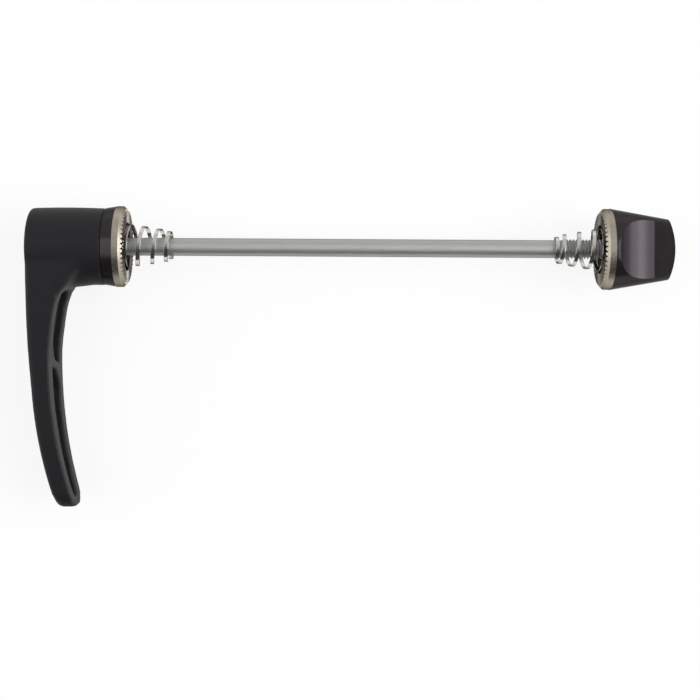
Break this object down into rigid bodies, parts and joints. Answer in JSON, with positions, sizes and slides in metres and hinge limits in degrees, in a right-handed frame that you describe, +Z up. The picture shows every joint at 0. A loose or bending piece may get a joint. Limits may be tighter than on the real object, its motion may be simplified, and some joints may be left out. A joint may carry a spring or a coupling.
{
  "type": "quick release skewer",
  "caption": "Front wheel skewer with a ratcheting lever on the rod axis, toothed clamp rings, conical springs and a conical thumb nut.",
  "frame": {"origin": "on the rod's axis, at the lever-side clamp face", "axes": "+X along the rod towards the nut, +Z up as the skewer lies, the lever towards -Y"},
  "size_m": [0.1589, 0.0753, 0.02],
  "materials": {
    "rod_steel": "satin zinc",
    "hub_steel": "plain machined",
    "slide_polymer": "matte",
    "black_anodised": "gloss black anodised",
    "nickel_steel": "nickel plated",
    "spring_steel": "bright nickel plated",
    "lever_moulding": "matte black moulded",
    "lock_nylon": "natural nylon"
  },
  "bodies": {
    "rod": {"skewer_rod": "rod_steel", "drive_hub": "hub_steel", "retaining_screw": "hub_steel", "retaining_washer": "hub_steel", "return_spring": "spring_steel"},
    "clamp_washer": {"clamp_cone": "black_anodised", "lever_serrated_ring": "nickel_steel", "lever_side_spring": "spring_steel", "thrust_washer": "slide_polymer"},
    "lever": {"lever": "lever_moulding", "lever_spline_insert": "hub_steel", "end_cap": "lever_moulding"},
    "nut_spring": {"nut_side_spring": "spring_steel"},
    "nut": {"nut_body": "black_anodised", "nut_serrated_ring": "nickel_steel", "nut_lock_insert": "lock_nylon"}
  },
  "joints": [
    {"name": "clamp_washer_turn", "type": "hinge", "parent": "rod", "child": "clamp_washer", "pos_m": [0, 0, 0], "axis": [1, 0, 0], "continuous": true},
    {"name": "lever_pull", "type": "slide", "parent": "rod", "child": "lever", "axis": [-1, 0, 0], "range_m": [0, 0.004], "stiffness_N_per_m": 1500, "springref_m": -0.002, "deforming": ["return_spring"]},
    {"name": "nut_travel", "type": "slide", "parent": "rod", "child": "nut_spring", "axis": [1, 0, 0], "range_m": [-0.0101, 0.0121]},
    {"name": "nut_turn", "type": "hinge", "parent": "nut_spring", "child": "nut", "pos_m": [0.1171, 0, 0], "axis": [1, 0, 0], "range_deg": [-4500, 5400]}
  ],
  "couplings": [
    {"joint": "nut_travel", "follows": "nut_turn", "m_per_rad": 0.00012732}
  ]
}
